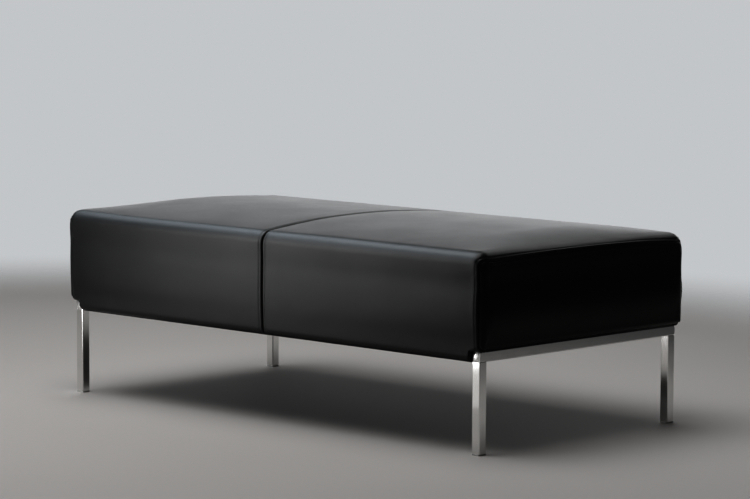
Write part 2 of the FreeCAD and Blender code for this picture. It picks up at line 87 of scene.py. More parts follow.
class Net:  # the nodes of one material, or of the world
    def __init__(self, tree):
        self.tree = tree
        tree.nodes.clear()

    def node(self, kind, settings=None, sockets=None, output=0):  # settings are set before the sockets
        made = self.tree.nodes.new(kind)
        for key, value in (settings or {}).items():
            setattr(made, key, value)
        for key, value in (sockets or {}).items():
            if isinstance(value, Wire):
                self.tree.links.new(value.socket, made.inputs[key])
            else:
                made.inputs[key].default_value = value
        return Wire(self, made.outputs[output]) if made.outputs else None

    def place(self):  # metres in the bench's own frame
        return self.node("ShaderNodeTexCoord", output="Object")

    def axis(self, vector, k):
        return self.node("ShaderNodeSeparateXYZ", None, {0: vector}, k)

    def stretch(self, vector, scale):
        return self.node("ShaderNodeMapping", None, {"Vector": vector, "Scale": scale})

    def cloud(self, vector, scale, detail=3.0, roughness=0.5):
        values = {"Vector": vector, "Scale": scale, "Detail": detail, "Roughness": roughness}
        return self.node("ShaderNodeTexNoise", None, values, "Fac")

    def cells(self, vector, scale):  # distance from the walls between irregular cells
        values = {"Vector": vector, "Scale": scale}
        return self.node("ShaderNodeTexVoronoi", {"feature": "DISTANCE_TO_EDGE"}, values, "Distance")

    def ease(self, value, low, high, start=0.0, end=1.0):
        values = {"Value": value, "From Min": low, "From Max": high, "To Min": start, "To Max": end}
        return self.node("ShaderNodeMapRange", {"interpolation_type": "SMOOTHSTEP"}, values)

    def tint(self, share, first, second):
        return self.node("ShaderNodeMix", {"data_type": "RGBA"}, {0: share, 6: first, 7: second}, 2)

    def bump(self, height, distance, strength):
        values = {"Height": height, "Distance": distance, "Strength": strength}
        return self.node("ShaderNodeBump", None, values)

    def drift(self, vector, scale, reach):  # pushes a pattern about, so that its lines wander
        values = {"Vector": vector, "Scale": scale, "Detail": 2.0}
        push = self.node("ShaderNodeTexNoise", None, values, "Color")
        values = {0: push, 1: (reach, reach, reach), 2: vector}
        return self.node("ShaderNodeVectorMath", {"operation": "MULTIPLY_ADD"}, values)

    def surface(self, sockets):
        shader = self.node("ShaderNodeBsdfPrincipled", None, sockets)
        self.node("ShaderNodeOutputMaterial", None, {"Surface": shader})


def newFinish(name):
    material = bpy.data.materials.new(name)
    material.use_nodes = True
    return material, Net(material.node_tree)


def drawnOut(scales, run):  # a pattern's scale on each axis, from those across its run and along it
    across, along = scales
    scale = [across] * 3
    scale[run] = along
    return scale


leather = {
    "black": (0.0045, 0.0046, 0.0049, 1.0),
    "faded": (0.0088, 0.0089, 0.0093, 1.0),
    "roughness": 0.37,
    "roughnessSpread": 0.10,
    "specular": 0.28,
    "grain": 1.3 * mm,
    "grainHeight": 0.10 * mm,
    "grainStrength": 0.55,
    "valleyRoughness": 0.07,  # extra roughness between the pebbles of the grain
    "patchScale": 7.0,
    "rubGloss": 0.06,  # how much smoother the handled edges are
    "rubLean": 0.29,  # the lean of an edge's face, away from the nearest axis, where the rub is full
}


def leatherFinish():
    material, net = newFinish("blackLeather")
    place = net.place()
    wandering = net.drift(place, 0.4 / leather["grain"], 0.6 * leather["grain"])
    pebble = net.ease(net.cells(wandering, 1 / leather["grain"]), 0.0, 0.3)
    pores = net.cloud(place, 4 / leather["grain"], 2.0)
    patches = net.cloud(place, leather["patchScale"], 4.0, 0.6)
    rub = net.node("ShaderNodeAttribute", {"attribute_name": "rub"}, None, "Fac")
    worn = net.ease(patches * 0.7 + rub * 0.3, 0.35, 0.75)
    roughness = leather["roughness"] + leather["roughnessSpread"] * (patches - 0.5)
    height = pebble * 0.8 + pores * 0.2
    net.surface({
        "Base Color": net.tint(worn * pebble, leather["black"], leather["faded"]),
        "Roughness": roughness + leather["valleyRoughness"] * (1 - pebble) - leather["rubGloss"] * rub,
        "Specular IOR Level": leather["specular"],
        "Normal": net.bump(height, leather["grainHeight"], leather["grainStrength"]),
    })
    return material


chrome = {
    "bright": (0.80, 0.80, 0.79, 1.0),
    "dull": (0.71, 0.71, 0.705, 1.0),
    "roughness": 0.055,
    "capRoughness": 0.34,  # the cast caps are only brushed
    "smear": 0.07,  # extra roughness where the polish is smeared
    "smearScale": 16.0,
    "scratch": 0.03 * mm,
    "scratchScale": (900.0, 9.0),  # across the polishing lines and along them
    "scratchRoughness": 0.03,
}


def chromeFinish(name, run, roughness):  # run is the axis along the tube, which the polishing lines follow
    material, net = newFinish(name)
    place = net.place()
    lines = net.cloud(net.stretch(place, drawnOut(chrome["scratchScale"], run)), 1.0, 2.0)
    smears = net.ease(net.cloud(net.drift(place, 9.0, 0.04), chrome["smearScale"], 4.0), 0.45, 0.75)
    net.surface({
        "Base Color": net.tint(smears, chrome["bright"], chrome["dull"]),
        "Metallic": 1.0,
        "Roughness": roughness + chrome["smear"] * smears + chrome["scratchRoughness"] * lines,
        "Normal": net.bump(lines, chrome["scratch"], 0.08),
    })
    return material


plating = {
    "bright": (0.60, 0.60, 0.58, 1.0),
    "dull": (0.42, 0.41, 0.37, 1.0),
    "roughness": 0.30,
    "spangleScale": 260.0,
}


def platedFinish():
    material, net = newFinish("platedSteel")
    spangle = net.cloud(net.place(), plating["spangleScale"], 4.0, 0.6)
    net.surface({
        "Base Color": net.tint(net.ease(spangle, 0.35, 0.7), plating["bright"], plating["dull"]),
        "Metallic": 1.0,
        "Roughness": plating["roughness"] + 0.2 * spangle,
        "Normal": net.bump(spangle, 0.03 * mm, 0.3),
    })
    return material


glidePlastic = {
    "grey": (0.33, 0.33, 0.32, 1.0),
    "scuffed": (0.20, 0.20, 0.195, 1.0),
    "roughness": 0.45,
    "sparkScale": 2500.0,
    "scuffScale": 180.0,
}


def glideFinish():
    material, net = newFinish("glidePlastic")
    place = net.place()
    spark = net.cloud(place, glidePlastic["sparkScale"], 2.0)
    scuffs = net.ease(net.cloud(place, glidePlastic["scuffScale"], 5.0, 0.7), 0.55, 0.75)
    net.surface({
        "Base Color": net.tint(scuffs, glidePlastic["grey"], glidePlastic["scuffed"]),
        "Roughness": glidePlastic["roughness"] + 0.2 * scuffs,
        "Normal": net.bump(spark, 0.04 * mm, 0.4),
    })
    return material


timber = {
    "early": (0.72, 0.53, 0.32, 1.0),
    "late": (0.50, 0.32, 0.16, 1.0),
    "roughness": 0.62,
    "ringScale": (26.0, 1.1),  # across the grain and along it
    "ringCount": 9.0,
    "fibreScale": (900.0, 14.0),
}


def timberFinish(name, run):  # run is the axis along the grain
    material, net = newFinish(name)
    place = net.place()
    warped = net.drift(net.stretch(place, drawnOut(timber["ringScale"], run)), 0.8, 0.5)
    rings = net.ease((net.cloud(warped, 1.0, 2.0) * timber["ringCount"]) % 1.0, 0.1, 0.95)
    fibres = net.cloud(net.stretch(place, drawnOut(timber["fibreScale"], run)), 1.0, 3.0)
    net.surface({
        "Base Color": net.tint(rings * 0.7 + fibres * 0.3, timber["early"], timber["late"]),
        "Roughness": timber["roughness"] + 0.2 * fibres,
        "Normal": net.bump(fibres, 0.15 * mm, 0.4),
    })
    return material


plywood = {
    "face": (0.76, 0.58, 0.37, 1.0),
    "core": (0.52, 0.34, 0.18, 1.0),
    "roughness": 0.6,
    "veneer": 3 * mm,
    "grainScale": (38.0, 2.0),  # across the grain and along it
    "fibreScale": (800.0, 16.0),
}


def plywoodFinish():
    material, net = newFinish("deckPlywood")
    place = net.place()
    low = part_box("seat_deck")[0].z
    layer = ((net.axis(place, 2) - low) / (2 * plywood["veneer"])) % 1.0
    core = net.ease(layer, 0.46, 0.54)
    warped = net.drift(net.stretch(place, drawnOut(plywood["grainScale"], 0)), 0.9, 0.5)
    grain = net.cloud(warped, 1.0, 4.0)
    fibres = net.cloud(net.stretch(place, drawnOut(plywood["fibreScale"], 0)), 1.0, 3.0)
    net.surface({
        "Base Color": net.tint(core * 0.7 + grain * 0.45, plywood["face"], plywood["core"]),
        "Roughness": plywood["roughness"] + 0.2 * fibres,
        "Normal": net.bump(fibres + grain, 0.12 * mm, 0.4),
    })
    return material


foam = {
    "pale": (0.84, 0.78, 0.58, 1.0),
    # the darker colour: painted shade in the pits of the cells, mixed with the foam's own uneven tone
    "shade": (0.66, 0.57, 0.36, 1.0),
    "cell": 1.6 * mm,
    "patchScale": 11.0,
}


def foamFinish():
    material, net = newFinish("foam")
    place = net.place()
    walls = net.cells(place, 1 / foam["cell"])
    pits = net.ease(walls, 0.05, 0.35)
    patches = net.cloud(place, foam["patchScale"], 3.0)
    net.surface({
        # painted shade: the pits of the cells are coloured darker; the patches are the foam's real uneven
        # tone
        "Base Color": net.tint(pits * 0.6 + patches * 0.3, foam["pale"], foam["shade"]),
        "Roughness": 0.85 + 0.1 * pits,
        "Normal": net.bump(1 - pits, 0.5 * mm, 0.6),
    })
    return material


dustCloth = {
    "black": (0.010, 0.010, 0.011, 1.0),
    "fibre": (0.034, 0.034, 0.036, 1.0),
    "fibreScale": 900.0,
    "dotPitch": 2.4 * mm,
}


def dustFinish():  # spun cloth: loose fibres, welded in a grid of dots
    material, net = newFinish("dustCloth")
    place = net.place()
    fibres = net.cloud(net.drift(place, 120.0, 0.01), dustCloth["fibreScale"], 5.0, 0.7)
    across = ((net.axis(place, 0) / dustCloth["dotPitch"]) % 1.0) - 0.5
    along = ((net.axis(place, 1) / dustCloth["dotPitch"]) % 1.0) - 0.5
    dots = net.ease(across * across + along * along, 0.03, 0.10)
    net.surface({
        "Base Color": net.tint(net.ease(fibres, 0.4, 0.7) * dots, dustCloth["black"], dustCloth["fibre"]),
        "Roughness": 0.55 + 0.35 * dots,
        "Normal": net.bump(dots * 0.6 + fibres * 0.4, 0.2 * mm, 0.6),
    })
    return material


thread = {
    "dark": (0.012, 0.012, 0.012, 1.0),
    "light": (0.040, 0.040, 0.041, 1.0),
    "strandScale": 2600.0,
}


def threadFinish():
    material, net = newFinish("blackThread")
    strands = net.cloud(net.place(), thread["strandScale"], 3.0)
    net.surface({
        "Base Color": net.tint(strands, thread["dark"], thread["light"]),
        "Roughness": 0.4 + 0.25 * strands,
        "Normal": net.bump(strands, 0.08 * mm, 0.6),
    })
    return material


leatherCoat = leatherFinish()
foamCoat = foamFinish()
dustCoat = dustFinish()
threadCoat = threadFinish()
platedCoat = platedFinish()

legChrome = chromeFinish("legChrome", 2, chrome["roughness"])
railChrome = chromeFinish("railChrome", 1, chrome["roughness"])
longTimber = timberFinish("timberLengthways", 0)
crossTimber = timberFinish("timberCrossways", 1)
uprightTimber = timberFinish("timberUpright", 2)
rigidCoats = {  # the ends of the node names, and the finish of each
    "_leg": legChrome,
    "_frame_rail": railChrome,
    "_cap": chromeFinish("capChrome", 0, chrome["capRoughness"]),
    "_glide": glideFinish(),
    "frame_bolts": platedCoat,
    "bolt_washers": platedCoat,
    "threaded_inserts": platedCoat,
    "wood_screws": platedCoat,
    "front_rail": longTimber,
    "back_rail": longTimber,
    "_end_rail": crossTimber,
    "centre_rail": crossTimber,
    "_bearer": crossTimber,
    "_corner_block": uprightTimber,
    "seat_deck": plywoodFinish(),
}
for nodeName, item in nodes.items():
    for ending, coat in rigidCoats.items():
        if nodeName.endswith(ending):
            item.data.materials.clear()
            item.data.materials.append(coat)
print("finishes made:", len(bpy.data.materials))


seat = {  # the upholstered body: the CAD's main sizes, with sides and seams of the leather's own
    "length": 1.200,
    "width": 0.620,
    "height": 0.410,
    "crown": 17 * mm,
    "crownRun": 130 * mm,
    "endDrop": 32 * mm,
    "topRadius": 27 * mm,
    "endRadius": 25 * mm,  # over the top edge of an end
    "cornerRadius": 20 * mm,  # round the upright corners
    "cornerEase": 0.3,  # how fast the top radius shrinks over the end's roll
    "bottomRadius": 13 * mm,
    "foldRadius": 5 * mm,  # the same edge beside the step
    "sideDraw": 2.5 * mm,
    "sideTaper": 3.0 * mm,
    "taperTop": 0.5,  # shares of the side's height
    "sideHollow": 1.7 * mm,
    "hollowPlace": 0.78,
    "hollowSpread": 0.13,
    "hollowMiddle": 0.45,  # the share of it that is left halfway along the bench
    "seamDip": 2.2 * mm,
    "seamShoulder": 14 * mm,
    "endSeamInset": 0.5 * mm,
    "sideSeamInset": 8.5 * mm,  # down the sides the seam sits further in
    "underside": 0.180,
    "ledge": 0.200,
    "step": 0.5655,
    "leather": 1.5 * mm,
    "flapEdge": 0.275,
    "ledgeFlapEdge": 0.2835,
    "deckTop": 0.3065,
}
halfLength = seat["length"] / 2
halfWidth = seat["width"] / 2


def bell(value, middle, spread):  # 1 at the middle, falling to 0 on both sides
    return np.exp(-((value - middle) / spread) ** 2)


def edgeRoll(radius, inset):  # a rounded edge of an end, with the seam that far in from the end's face
    angle = math.asin(1 - inset / radius)
    return {
        "radius": radius,
        "start": halfLength - radius,
        "seam": halfLength - inset,
        "angle": angle,
        "drop": radius * (1 - math.cos(angle)),
    }


topRoll = edgeRoll(seat["endRadius"], seat["endSeamInset"])
sideRoll = edgeRoll(seat["cornerRadius"], seat["sideSeamInset"])
bottomRoll = edgeRoll(seat["bottomRadius"], seat["sideSeamInset"])


def rollDrop(x, start, run):  # how far a quarter circle has dropped at x
    share = np.clip((x - start) / run, 0, 1)
    return run * (1 - np.sqrt(1 - share ** 2))


def seamGap(roll, x):  # distance over the rounded edge from x to the seam
    turn = np.arcsin(np.clip((x - roll["start"]) / roll["radius"], 0, 1))
    return roll["radius"] * (roll["angle"] - turn) + np.maximum(roll["start"] - x, 0)


def seamPlace(roll, gap):  # x at that distance
    turn = roll["angle"] - gap / roll["radius"]
    return roll["start"] + roll["radius"] * (math.sin(turn) if turn > 0 else turn)


def sideOffset(share, x=halfLength):  # the side bellies low down, and is drawn in under the top edge
    taper = seat["sideTaper"] * np.clip(1 - share / seat["taperTop"], 0, 1) ** 2
    left = seat["hollowMiddle"] + (1 - seat["hollowMiddle"]) * (x / halfLength) ** 2
    return taper + seat["sideHollow"] * left * bell(share, seat["hollowPlace"], seat["hollowSpread"])


def sectionShape(x, depth=0.0):  # the sizes of the cross section at x, depth below the leather's face
    x = abs(x)
    endRoll = rollDrop(x, topRoll["start"], topRoll["radius"] - depth)
    cornerRoll = rollDrop(x, sideRoll["start"], sideRoll["radius"] - depth)
    crownShare = np.clip((x - halfLength + seat["crownRun"]) / (seat["crownRun"] - depth), 0, 1)
    crownFall = (seat["endDrop"] - depth) * (1 - np.sqrt(1 - crownShare ** 2))
    dip = seat["seamDip"] * max(1 - x / seat["seamShoulder"], 0) ** 2
    draw = seat["sideDraw"] * (1 - (x / halfLength) ** 4)
    wide = halfWidth - depth - draw - cornerRoll - dip
    edgeTop = seat["height"] - seat["crown"] - depth - endRoll - dip
    midTop = seat["height"] - depth - crownFall - dip
    radius = seat["topRadius"] - depth - seat["cornerEase"] * endRoll
    reach = wide - radius
    rise = midTop - edgeTop
    crownRadius = (reach ** 2 + rise ** 2) / (2 * rise)
    crownLow = midTop - crownRadius
    shoulder = crownLow + math.sqrt((crownRadius - radius) ** 2 - reach ** 2)
    turn = math.atan2(shoulder - crownLow, reach)
    return {
        "wide": wide,
        "radius": radius,
        "reach": reach,
        "crownRadius": crownRadius,
        "crownLow": crownLow,
        "shoulder": shoulder,
        "turn": turn,
    }


rowCounts = {"flap": 4, "bottomRoll": 6, "lowSide": 6, "side": 26, "topRoll": 9, "crown": 46}
sideSplit = 0.222  # below this level the front and back follow the step over the frame
noFlap = 1.0  # a flap edge outside the section, which leaves the flaps out


def lowEdge(x, bottom):  # the lower edge's radius, which is small beside the step
    rise = min(max((bottom - seat["underside"]) / (seat["ledge"] - seat["underside"]), 0), 1)
    grown = min(max((abs(x) - seat["step"]) / (sideRoll["seam"] - seat["step"]), 0), 1)
    return seat["bottomRadius"] - (seat["bottomRadius"] - seat["foldRadius"]) * rise * (1 - grown)


def sectionRows(x, bottom, flapEdge, depth=0.0):  # (y, z) from the front flap over the top to the back flap
    shape = sectionShape(x, depth)
    bottomRadius = lowEdge(x, bottom) - depth
    sideLow = bottom + bottomRadius
    profileLow = seat["underside"] + seat["bottomRadius"]

    def sideY(z):
        return shape["wide"] - sideOffset((z - profileLow) / (shape["shoulder"] - profileLow), x)

    flat = sideY(sideLow) - bottomRadius
    parts = []
    y = np.linspace(min(flapEdge, flat), flat, rowCounts["flap"], endpoint=False)
    parts.append((y, np.full_like(y, bottom)))
    angle = np.linspace(0, math.pi / 2, rowCounts["bottomRoll"], endpoint=False)
    parts.append((flat + bottomRadius * np.sin(angle), sideLow - bottomRadius * np.cos(angle)))
    z = np.linspace(sideLow, sideSplit, rowCounts["lowSide"], endpoint=False)
    parts.append((sideY(z), z))
    z = np.linspace(sideSplit, shape["shoulder"], rowCounts["side"], endpoint=False)
    parts.append((sideY(z), z))
    angle = np.linspace(0, shape["turn"], rowCounts["topRoll"], endpoint=False)
    y = shape["reach"] + shape["radius"] * np.cos(angle)
    parts.append((y, shape["shoulder"] + shape["radius"] * np.sin(angle)))
    y = np.linspace(shape["crownRadius"] * math.cos(shape["turn"]), 0, rowCounts["crown"], endpoint=False)
    parts.append((y, shape["crownLow"] + np.sqrt(shape["crownRadius"] ** 2 - y ** 2)))
    y = np.concatenate([part[0] for part in parts])
    z = np.concatenate([part[1] for part in parts])
    top = shape["crownLow"] + shape["crownRadius"]
    return np.column_stack([np.concatenate([-y, [0], y[::-1]]), np.concatenate([z, [top], z[::-1]])])


seam = {
    "crease": 1.7 * mm,
    "creaseWidth": 1.3 * mm,
    "lip": 0.45 * mm,
    "lipPlace": 4.2 * mm,
    "lipWidth": 1.8 * mm,
    "rowPlace": 8.5 * mm,  # the row of topstitches
    "rowDent": 0.38 * mm,
    "rowWidth": 1.5 * mm,
    "flapShare": 0.1,  # how much of the relief is left on the flaps underneath
    "gaps": [0, 0.5, 1.1, 1.8, 2.7, 3.8, 5.0, 6.2, 7.2, 8.0, 8.8, 9.6, 10.8, 12.5, 15.0, 18.5, 23.0],  # mm
}


def seamRelief(gap, rowStrength=1.0):
    crease = seam["crease"] * np.exp(-(np.abs(gap) / seam["creaseWidth"]) ** 1.5)
    lip = seam["lip"] * bell(gap, seam["lipPlace"], seam["lipWidth"])
    dent = seam["rowDent"] * bell(gap, seam["rowPlace"], seam["rowWidth"])
    return lip - crease - rowStrength * dent


def rowShares():  # 0 on the sides and 1 on the crown, as the end seam climbs from one line to the other
    low = sum(rowCounts[key] for key in ("flap", "bottomRoll", "lowSide", "side"))
    climb = np.linspace(0, 1, rowCounts["topRoll"], endpoint=False)
    half = np.concatenate([np.zeros(low), climb ** 2 * (3 - 2 * climb), np.ones(rowCounts["crown"])])
    return np.concatenate([half, [1], half[::-1]])


def ringPoints(topX, sideX, bottom, flapEdge):  # a section with its crown at topX and its sides at sideX
    shares = rowShares()
    x = sideX + (topX - sideX) * shares
    sides = sectionRows(sideX, bottom, flapEdge)
    crown = sectionRows(topX, bottom, flapEdge)
    rows = np.where(shares[:, None] < 1, sides, crown)
    if topX != sideX:
        for k in np.flatnonzero((shares > 0) & (shares < 1)):
            rows[k] = sectionRows(x[k], bottom, flapEdge)[k]
    return np.column_stack([x, rows])


coverGrid = {
    "pitch": 6 * mm,
    "stepFold": [  # x from the step and how far the underside has risen there, in mm
        (-6.4, 0), (-3.9, 0.3), (-2.4, 1.2), (-1.4, 2.7),
        (-0.9, 5), (-0.6, 12), (-0.3, 18.2), (0.3, 20),
    ],
}


def coverColumns():  # top x, side x, underside and inner flap edge, from the centre seam to the end seam
    gaps = [gap * mm for gap in seam["gaps"]]
    near = gaps[-1]
    foldStart = seat["step"] + coverGrid["stepFold"][0][0] * mm
    foldEnd = seat["step"] + coverGrid["stepFold"][-1][0] * mm
    count = round((foldStart - near) / coverGrid["pitch"])
    columns = [(x, x, seat["underside"]) for x in gaps[:-1]]
    columns += [(x, x, seat["underside"]) for x in np.linspace(near, foldStart, count, endpoint=False)]
    for ahead, rise in coverGrid["stepFold"]:
        x = seat["step"] + ahead * mm
        columns.append((x, x, seat["underside"] + rise * mm))
    far = [seamPlace(roll, near) for roll in (topRoll, sideRoll)]
    columns.append(((far[0] + foldEnd) / 2, (far[1] + foldEnd) / 2, seat["ledge"]))
    for gap in reversed(gaps):
        x = seamPlace(sideRoll, gap)
        bottom = seat["ledge"] + float(rollDrop(x, bottomRoll["start"], bottomRoll["radius"]))
        columns.append((seamPlace(topRoll, gap), x, bottom))
    made = []
    for topX, sideX, bottom in columns:
        share = (bottom - seat["underside"]) / (seat["ledge"] - seat["underside"])
        inner = seat["flapEdge"] + (seat["ledgeFlapEdge"] - seat["flapEdge"]) * min(share, 1)
        made.append((topX, sideX, bottom, inner))
    return made


def softNoise(points, size, seed):  # smooth noise from -1 to 1
    shift = Vector((seed, 1.7 * seed, 2.3 * seed))
    return np.array([noise.noise(Vector(p) / size + shift) for p in points])


pull = {  # how the leather lies: full sides, slow waves, folds beside the end seams, gathered corners
    "belly": (4.0 * mm, -0.5 * mm),  # at the right end and at the left
    "bellyFront": 0.3,  # the share of it on the front
    "bellyLevel": 0.272,
    "bellySpread": 0.034,
    "hang": (-1.2 * mm, -2.6 * mm),  # low down, where the leather is drawn under
    "hangLevel": 0.215,
    "hangSpread": 0.022,
    "wave": 0.45 * mm,
    "waveSize": 0.12,
    "ripple": 0.14 * mm,
    "rippleSize": 0.035,
    "fold": 0.42 * mm,
    "foldPitch": 9 * mm,
    "foldPlace": 19 * mm,
    "foldSpread": 11 * mm,
    "foldStretch": 0.18,  # how fast the folds change along the seam, as a share of that across it
    "foldWander": (0.9, 0.02),  # how many pitches they stray, and over what distance
    "foldPatches": (0.45, 0.9, 0.016),  # the middle, spread and size of the patches that have folds
    "gather": 1.0 * mm,
    "gatherCount": 9,
    "gatherSize": 17 * mm,
    "corner": (0.5965, 0.3005, 0.3670),
    "shifts": [  # corner, movement in mm and reach: one corner stands up, the one across is pressed down
        ((-0.600, -0.310, 0.385), (-1.2, -1.2, 3.2), 0.110),
        ((0.600, 0.310, 0.375), (0.0, 0.0, -3.2), 0.075),
    ],
}


def cornerShift(points):
    moves = np.zeros_like(points)
    for place, move, reach in pull["shifts"]:
        distance = np.linalg.norm(points - np.array(place), axis=1)
        moves += bell(distance, 0, reach)[:, None] * np.array(move) * mm
    return moves


def bellyRelief(points, normals):  # the sides are full at the right end, and drawn under at their feet
    upright = np.clip(1 - np.abs(normals[:, 2]), 0, 1)
    front = normals[:, 1] < -0.5
    relief = np.zeros(len(points))
    for side, belly, hang in zip((1, -1), pull["belly"], pull["hang"]):
        share = np.clip(side * points[:, 0] / halfLength, 0, 1) ** 3 * upright
        fullness = np.where(front, belly * pull["bellyFront"], belly)
        relief += share * fullness * bell(points[:, 2], pull["bellyLevel"], pull["bellySpread"])
        relief += share * hang * bell(points[:, 2], pull["hangLevel"], pull["hangSpread"])
    return relief


def foldRelief(points, normals):
    gap = seamGap(topRoll, np.abs(points[:, 0]))
    stretched = points * np.array([1.0, pull["foldStretch"], 1.0])
    wander, wanderSize = pull["foldWander"]
    phase = gap / pull["foldPitch"] + wander * softNoise(stretched, wanderSize, seed=1.3)
    middle, spread, patchSize = pull["foldPatches"]
    share = np.clip(middle + spread * softNoise(stretched, patchSize, seed=5.9), 0, 1)
    band = bell(gap, pull["foldPlace"], pull["foldSpread"]) * np.clip(normals[:, 2], 0, 1) ** 2
    return pull["fold"] * np.sin(2 * math.pi * phase) * share * band


def gatherRelief(points):  # pleats that run out from each top corner
    relief = np.zeros(len(points))
    for sideX in (-1, 1):
        for sideY in (-1, 1):
            outward = np.array([sideX, sideY, 1]) / math.sqrt(3)
            first = np.cross(outward, (0, 0, 1))
            first /= np.linalg.norm(first)
            second = np.cross(outward, first)
            away = points - np.array(pull["corner"]) * (sideX, sideY, 1)
            distance = np.linalg.norm(away, axis=1)
            around = np.arctan2(away @ second, away @ first)
            strength = distance / pull["gatherSize"] * bell(distance, 0, pull["gatherSize"])
            relief += pull["gather"] * np.sin(pull["gatherCount"] * around + sideX) * strength
    return relief


def pullRelief(points, normals):
    relief = pull["wave"] * softNoise(points, pull["waveSize"], seed=3.1)
    relief += pull["ripple"] * softNoise(points, pull["rippleSize"], seed=7.7)
    return relief + bellyRelief(points, normals) + foldRelief(points, normals) + gatherRelief(points)


def linked(name, data):  # a new object in the scene
    item = bpy.data.objects.new(name, data)
    bpy.context.scene.collection.objects.link(item)
    return item


def newPiece(name, points, faces, coat):
    mesh = bpy.data.meshes.new(name)
    mesh.from_pydata([tuple(point) for point in points], [], faces)
    mesh.validate()
    mesh.materials.append(coat)
    mesh.shade_smooth()
    piece = linked(name, mesh)
    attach(piece, "root")
    return piece


def gridFaces(columns, rows, flip=False):
    faces = []
    for c in range(columns - 1):
        for r in range(rows - 1):
            a = c * rows + r
            face = (a, a + rows, a + rows + 1, a + 1)
            faces.append(face[::-1] if flip else face)
    return faces


def ringFaces(start, rings, count):  # round a closed form and over its ends, facing out
    faces = []
    for ring in range(rings - 1):
        for k in range(count):
            a = start + ring * count + k
            b = start + ring * count + (k + 1) % count
            faces.append((a, b, b + count, a + count))
    last = start + (rings - 1) * count
    faces.append(tuple(reversed(range(start, start + count))))
    faces.append(tuple(range(last, last + count)))
    return faces


def mergeSame(points, faces):  # joins points that lie on each other, and drops the faces that vanish
    nearness = 0.01 * mm
    keys = np.round(points / nearness).astype(np.int64)
    first, back = np.unique(keys, axis=0, return_index=True, return_inverse=True)[1:]
    back = back.ravel()
    kept = []
    for face in faces:
        ring = []
        for corner in face:
            k = int(back[corner])
            if not ring or ring[-1] != k:
                ring.append(k)
        if ring[0] == ring[-1]:
            ring.pop()
        if len(set(ring)) == len(ring) and len(ring) > 2:
            kept.append(tuple(ring))
    return first, kept


def meshNormals(points, faces):
    mesh = bpy.data.meshes.new("measure")
    mesh.from_pydata([tuple(point) for point in points], [], faces)
    normals = np.zeros(len(points) * 3)
    mesh.vertex_normals.foreach_get("vector", normals)
    bpy.data.meshes.remove(mesh)
    return normals.reshape(-1, 3)


settle = {  # the cloth simulation that lays the leather over the foam
    "pitch": 5.5 * mm,  # at least this far between the simulated points
    "frames": 20,
    "foamHold": 0.2,  # how strongly the foam keeps a point in its place
    "slack": 45 * mm,  # how far from a seam the leather is loose
    "cap": 2.0 * mm,
    "smoothing": 4,  # passes
    "fade": 45 * mm,  # the movement grows from nothing at a seam over this distance
    "settings": {
        "vertex_group_mass": "hold",
        "vertex_group_shrink": "loose",
        "use_pressure": True,
        "uniform_pressure_force": 4.0,
        "mass": 0.1,
        "quality": 4,
        "tension_stiffness": 40.0,
        "compression_stiffness": 40.0,
        "shear_stiffness": 13.0,
        "bending_stiffness": 20.0,
        "shrink_min": 0.0002,
        "shrink_max": -0.0005,
    },
}


def runAlong(line):  # the distance along a line at each of its points
    return np.concatenate([[0], np.cumsum(np.linalg.norm(np.diff(line, axis=0), axis=1))])


def spacedOut(line):  # the distances along a line of points, and the points that are far enough apart
    run = runAlong(line)
    kept = [0]
    for k in range(1, len(run)):
        if run[k] - run[kept[-1]] > settle["pitch"]:
            kept.append(k)
    kept[-1] = len(run) - 1
    return run, kept


def smoothed(moves):
    inner = 0.25 * moves[:-2] + 0.5 * moves[1:-1] + 0.25 * moves[2:]
    return np.concatenate([moves[:1], inner, moves[-1:]])


def simulate(grid, held, gap):  # how far Cloth moves each point of a grid
    columns, rows = held.shape
    mesh = bpy.data.meshes.new("settling")
    mesh.from_pydata(grid.reshape(-1, 3).tolist(), [], gridFaces(columns, rows))
    item = linked("settling", mesh)
    hold = item.vertex_groups.new(name="hold")
    hold.add(np.flatnonzero(held).tolist(), 1.0, "REPLACE")
    hold.add(np.flatnonzero(~held).tolist(), settle["foamHold"], "REPLACE")
    loose = item.vertex_groups.new(name="loose")
    for k, distance in enumerate(gap.ravel()):
        loose.add([k], math.exp(-(distance / settle["slack"]) ** 2), "REPLACE")
    cloth = item.modifiers.new("cloth", "CLOTH")
    for key, value in settle["settings"].items():
        setattr(cloth.settings, key, value)
    cloth.settings.effector_weights.gravity = 0
    cloth.collision_settings.use_collision = False
    cloth.point_cache.frame_end = settle["frames"]
    for frameNumber in range(1, settle["frames"] + 1):
        bpy.context.scene.frame_set(frameNumber)
    result = item.evaluated_get(bpy.context.evaluated_depsgraph_get()).data
    places = np.zeros(len(result.vertices) * 3)
    result.vertices.foreach_get("co", places)
    bpy.data.objects.remove(item)
    bpy.data.meshes.remove(mesh)
    bpy.context.scene.frame_set(1)
    moves = places.reshape(grid.shape) - grid
    reach = np.linalg.norm(moves, axis=2, keepdims=True)
    return moves * np.minimum(1, settle["cap"] / np.maximum(reach, settle["cap"]))


def settled(grid, held, gap):  # the grid after a simulation on some of its rows and columns
    along, columns = spacedOut(grid[:, grid.shape[1] // 2])
    across, rows = spacedOut(grid[grid.shape[0] // 2])
    some = np.ix_(columns, rows)
    held = held[some]
    held[[0, -1]] = True
    held[:, [0, -1]] = True
    moves = simulate(grid[some], held, gap[some])
    moves[held] = 0
    for step in range(settle["smoothing"]):
        moves = smoothed(smoothed(moves).swapaxes(0, 1)).swapaxes(0, 1)
    wide = np.empty((len(along), len(rows), 3))
    full = np.empty_like(grid)
    for k in range(3):
        for r in range(len(rows)):
            wide[:, r, k] = np.interp(along, along[columns], moves[:, r, k])
        for c in range(len(along)):
            full[c, :, k] = np.interp(across, across[rows], wide[c, :, k])
    share = np.clip(gap / settle["fade"], 0, 1)
    full *= (share ** 2 * (3 - 2 * share))[:, :, None]
    print("leather settled by up to", round(float(np.abs(full).max()) / mm, 2), "mm")
    return grid + full


def addWall(piece, thickness, offset):
    wall = piece.modifiers.new("thickness", "SOLIDIFY")
    wall.thickness = thickness
    wall.offset = offset
    return wall


